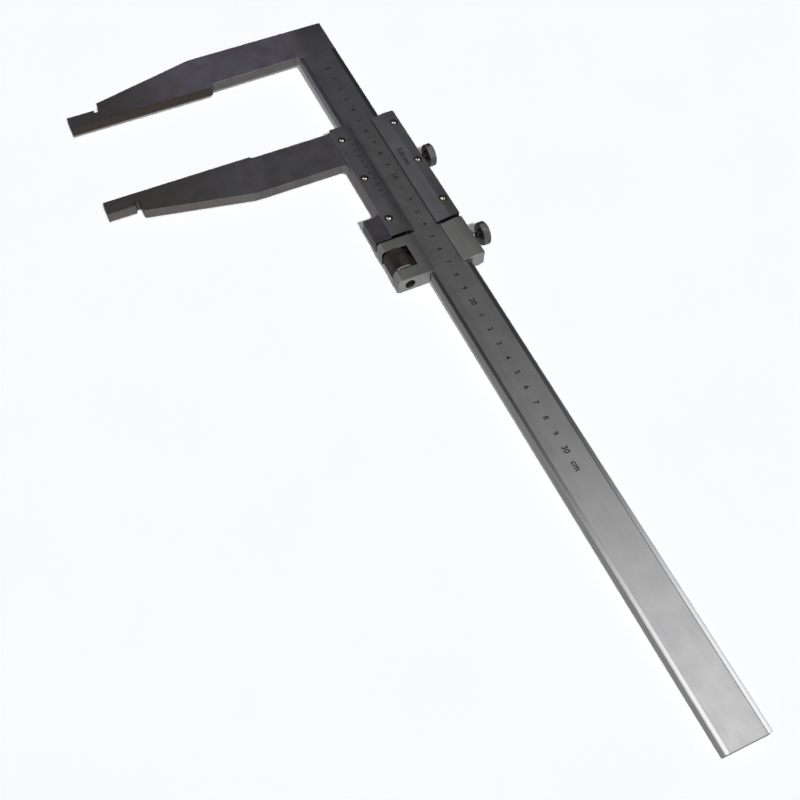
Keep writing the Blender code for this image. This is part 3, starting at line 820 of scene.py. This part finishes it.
def make_plate_screw(name, slot_turn, surface):
    """A low domed head with a driver slot, on its shank."""
    low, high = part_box(name)
    middle = (low + high) / 2
    shank = 1.2 * MM
    head = (high.x - low.x) / 2
    head_low = high.z - 1.4 * MM
    dome_radius = (head**2 + HEAD_RISE**2) / (2 * HEAD_RISE)
    profile = [(0.3 * MM, low.z), (shank, low.z + 0.1 * MM), (shank, head_low), (head, head_low)]
    dome_steps = 18
    for step in range(dome_steps):
        radius = head * math.cos(math.pi / 2 * step / dome_steps)
        profile.append((radius, high.z + math.sqrt(dome_radius**2 - radius**2) - dome_radius))
    profile.append((0.02 * MM, high.z))
    form = turn(profile, (middle.x, middle.y, 0), (0, 0, 1), 96)
    slot = bmesh.new()
    bmesh.ops.create_cube(slot, size=1)
    bmesh.ops.scale(slot, vec=(SLOT_WIDTH, 3 * head, 2 * SLOT_DEPTH), verts=slot.verts)
    place = Matrix.Translation((middle.x, middle.y, high.z))
    slot.transform(place @ Matrix.Rotation(math.radians(slot_turn), 4, "Z"))
    new_piece(name + "_domed", cut(form, slot), surface, "slider", [name])


def make_lock_screw(name, surface):
    """A threaded shank, a polished collar, and a head with a diamond knurl and a dished face."""
    low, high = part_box(name)
    joint = JOINTS[name.replace("_screw", "_spin")]
    origin = Vector((joint["pos_m"][0], 0, joint["pos_m"][2]))
    shank = 2 * MM
    thread_start = low.y + 0.45 * MM
    collar = 3.3 * MM
    head = (high.x - low.x) / 2
    head_start = high.y - KNOB_THICKNESS
    collar_start = head_start - 0.9 * MM
    neck = shank - 0.3 * MM
    neck_start = collar_start - 0.6 * MM
    chamfer = 0.55 * MM
    dish = 4.3 * MM
    dish_y = high.y - 0.5 * MM

    def relief(angle, distance, radius):
        if low.y + 0.4 * MM < distance < collar_start - 0.5 * MM:
            return thread(angle, distance)
        if radius < head - 0.01 * MM:
            return 0
        turns = angle / math.tau * KNOB_TEETH
        climb = (distance - head_start) / (math.tau * head / KNOB_TEETH)
        crossing = triangle_wave(turns + climb / 2) * triangle_wave(turns - climb / 2)
        return -KNOB_KNURL_DEPTH * (1 - crossing)

    threaded = steps(thread_start + 0.05 * MM, neck_start - 0.3 * MM, THREAD_PITCH / 6)
    knurled = steps(head_start + chamfer, high.y - chamfer, 0.12 * MM)
    profile = [
        (0.8 * MM, low.y),
        (shank - 0.45 * MM, low.y),
        (shank, thread_start),
        *((shank, y) for y in threaded),
        (neck, neck_start),
        (neck, collar_start),
        (collar - 0.2 * MM, collar_start),
        (collar, collar_start + 0.2 * MM),
        (collar, head_start),
        (head - chamfer, head_start + 0.05 * MM),
        *((head, y) for y in knurled),
        (head - chamfer, high.y - 0.05 * MM),
        (head - chamfer - 0.3 * MM, high.y),
        (dish, high.y),
        (dish - 0.3 * MM, dish_y + 0.05 * MM),
        (0.6 * MM, dish_y),
    ]
    form = turn(profile, origin, (0, 1, 0), KNOB_TEETH * 6, relief)
    new_piece(name + "_turned", form, surface, name, [name])


def make_nut(surface):
    """The fine-adjustment nut: a straight knurl between two chamfered ends."""
    low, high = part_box("adjusting_nut")
    joint = JOINTS["adjusting_nut_spin"]
    origin = Vector((0, joint["pos_m"][1], joint["pos_m"][2]))
    radius = (high.y - low.y) / 2
    bore = 2.3 * MM
    chamfer = 0.7 * MM

    def relief(angle, distance, at):
        if at < radius - 0.01 * MM:
            return 0
        return -NUT_KNURL_DEPTH * (1 - triangle_wave(angle / math.tau * NUT_TEETH))

    profile = [
        (bore, low.x),
        (radius - chamfer, low.x),
        (radius - 0.45 * chamfer, low.x + 0.4 * chamfer),
        *((radius, x) for x in steps(low.x + chamfer, high.x - chamfer, 0.6 * MM)),
        (radius - 0.45 * chamfer, high.x - 0.4 * chamfer),
        (radius - chamfer, high.x),
        (bore, high.x),
        (bore, low.x),
    ]
    form = turn(profile, origin, (1, 0, 0), NUT_TEETH * 6, relief)
    ends = [face for face in form.faces if len(face.verts) > 4]
    bmesh.ops.delete(form, geom=ends, context="FACES_ONLY")
    bmesh.ops.remove_doubles(form, verts=form.verts, dist=0.001 * MM)
    bmesh.ops.recalc_face_normals(form, faces=form.faces)
    nut = "adjusting_nut"
    new_piece(nut + "_knurled", form, surface, nut, [nut])


def make_adjusting_screw(surface):
    """The adjusting screw, threaded between its chamfered ends."""
    low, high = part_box("adjusting_screw")
    middle = (low + high) / 2
    radius = (high.y - low.y) / 2
    chamfer = 0.5 * MM

    def relief(angle, distance, at):
        return thread(angle, distance) if at > radius - 0.01 * MM else 0

    profile = [
        (0.4 * MM, low.x),
        (radius - chamfer, low.x),
        *((radius, x) for x in steps(low.x + chamfer, high.x - chamfer, THREAD_PITCH / 6)),
        (radius - chamfer, high.x),
        (0.4 * MM, high.x),
    ]
    form = turn(profile, (0, middle.y, middle.z), (1, 0, 0), 40, relief)
    screw = "adjusting_screw"
    new_piece(screw + "_threaded", form, surface, "slider", [screw])


# ---------------------------------------------------------------- studio


def make_floor():
    """A pale floor that the caliper lies on, resting on the slider's back and the beam's far end. It
    turns up into a dome far away, so every view has the same plain ground."""
    rests_on = Vector((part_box("slider_frame")[1].x, 0, CAD_BOUNDS[0].z))
    tip = Vector((BEAM_HIGH.x, 0, BEAM_LOW.z))
    along = (tip - rests_on).normalized()
    upright = along.cross(Vector((0, 1, 0)))
    profile = [(radius, 0.0) for radius in (0.05, FLOOR_RADIUS / 2, FLOOR_RADIUS)]
    sky_steps = 24
    for step in range(1, sky_steps):
        angle = math.pi * step / sky_steps - math.pi / 2
        reach = FLOOR_RADIUS + SKY_RADIUS * math.cos(angle)
        profile.append((reach, SKY_RADIUS + SKY_RADIUS * math.sin(angle)))
    form = turn(profile, rests_on, upright, 64)
    bmesh.ops.reverse_faces(form, faces=form.faces)
    mesh = bpy.data.meshes.new("floor")
    form.to_mesh(mesh)
    form.free()
    mesh.shade_smooth()
    mesh.materials.append(floor_paper(rests_on))
    floor = bpy.data.objects.new("floor", mesh)
    bpy.context.scene.collection.objects.link(floor)
    floor.visible_glossy = False
    floor.visible_diffuse = False
    floor.visible_shadow = False


def floor_paper(middle):
    """The floor's pale paper, which glows a little by itself, and more far from the middle."""
    surface = Surface("pale_floor", metallic=0.0)
    surface.shader.inputs["Specular IOR Level"].default_value = 0.0
    surface.shader.inputs["Emission Color"].default_value = (0.985, 0.992, 1, 1)
    glow = surface.spread(surface.off_axis(middle, (1, 1, 1)), 1.0, 2.0, 0.21, 0.97)
    surface.feed(surface.shader.inputs["Emission Strength"], glow)
    fibres = surface.spread(surface.noise(60 * MM, detail=2), 0.3, 0.7)
    paper = surface.tint(fibres, (0.786, 0.793, 0.806), (0.792, 0.799, 0.812))
    return surface.finish(paper, 1.0, fibres, 0.01 * MM)


def softbox(name, place, size, radiance, target, long_way=(0, 1, 0)):
    """A rectangular lamp of even brightness that faces the target, its second size along long_way."""
    data = bpy.data.lights.new(name, "AREA")
    data.shape = "RECTANGLE"
    data.size, data.size_y = size
    data.energy = radiance * math.pi * size[0] * size[1]
    lamp = bpy.data.objects.new(name, data)
    back = (Vector(place) - Vector(target)).normalized()
    side = Vector(long_way).cross(back).normalized()
    turned = Matrix((side, back.cross(side), back)).transposed().to_4x4()
    lamp.matrix_world = Matrix.Translation(place) @ turned
    lamp.visible_camera = False
    lamp.visible_diffuse = False
    bpy.context.scene.collection.objects.link(lamp)
    return lamp


def make_lamps():
    """A broad softbox that the steel reflects, a narrow one for the plate screws' domes alone, and a
    high distant lamp that lights the floor and the ink."""
    softbox("key_lamp", (0.39, 0.3, 1.2), (0.72, 1.3), 1.9, (0.39, 0.3, 0))
    glint = softbox("glint_lamp", (-0.2, 0.23, 0.94), (0.12, 1.3), 4, (0.11, 0.1, 0), (0.42, 0.91, 0))
    domes = bpy.data.collections.new("domes")
    for piece in bpy.data.objects:
        if piece.name.endswith("_domed"):
            domes.objects.link(piece)
    glint.light_linking.receiver_collection = domes

    data = bpy.data.lights.new("floor_lamp", "SUN")
    data.energy = 3.95
    data.angle = math.radians(6)
    lamp = bpy.data.objects.new("floor_lamp", data)
    lamp.rotation_euler = Vector(SUN_DIRECTION).to_track_quat("Z", "Y").to_euler()
    lamp.visible_camera = False
    lamp.visible_glossy = False
    bpy.context.scene.collection.objects.link(lamp)


def make_world():
    """What reflections see round the lamps: a dark room with two soft bright sides."""
    world = bpy.data.worlds.new("studio")
    bpy.context.scene.world = world
    world.use_nodes = True
    world.cycles_visibility.diffuse = False
    nodes = Nodes(world.node_tree)
    direction = nodes.node("ShaderNodeTexCoord").outputs["Generated"]
    level = WORLD_DARK
    for towards, start, end, radiance in WORLD_SIDES:
        sockets = {0: direction, 1: towards}
        facing = nodes.node("ShaderNodeVectorMath", sockets, operation="DOT_PRODUCT")
        side = nodes.spread(facing.outputs["Value"], start, end, 0.0, radiance)
        level = nodes.math("ADD", side, level)
    background = world.node_tree.nodes["Background"]
    background.inputs["Color"].default_value = (1, 1, 1, 1)
    nodes.feed(background.inputs["Strength"], level)


def make_camera():
    data = bpy.data.cameras.new("camera")
    data.lens = 48.62
    data.sensor_width = 36
    camera = bpy.data.objects.new("camera", data)
    turned = Matrix((CAMERA_RIGHT, -CAMERA_DOWN, -CAMERA_FORWARD)).transposed().to_4x4()
    camera.matrix_world = Matrix.Translation(CAMERA_PLACE) @ turned
    bpy.context.scene.collection.objects.link(camera)
    bpy.context.scene.camera = camera


def main():
    bpy.context.scene.view_settings.view_transform = "Standard"
    make_camera()
    make_floor()
    finish_cad_nodes()

    bright = head_steel()
    for row, turns in SLOT_TURNS.items():
        for number, slot_turn in enumerate(turns, 1):
            make_plate_screw(f"{row}_screw_{number}", slot_turn, bright)
    black = ink()
    make_main_scale(black)
    make_vernier_scale(black)
    make_reading_mark(black)
    for name in ("slider_lock_screw", "clamp_lock_screw"):
        make_lock_screw(name, knob_steel(name))
    make_nut(nut_steel())
    make_adjusting_screw(turned_metal("rod_steel", (0.2, 0.19, 0.18), (0.12, 0.115, 0.11), 0.35))

    make_lamps()
    make_world()


main()
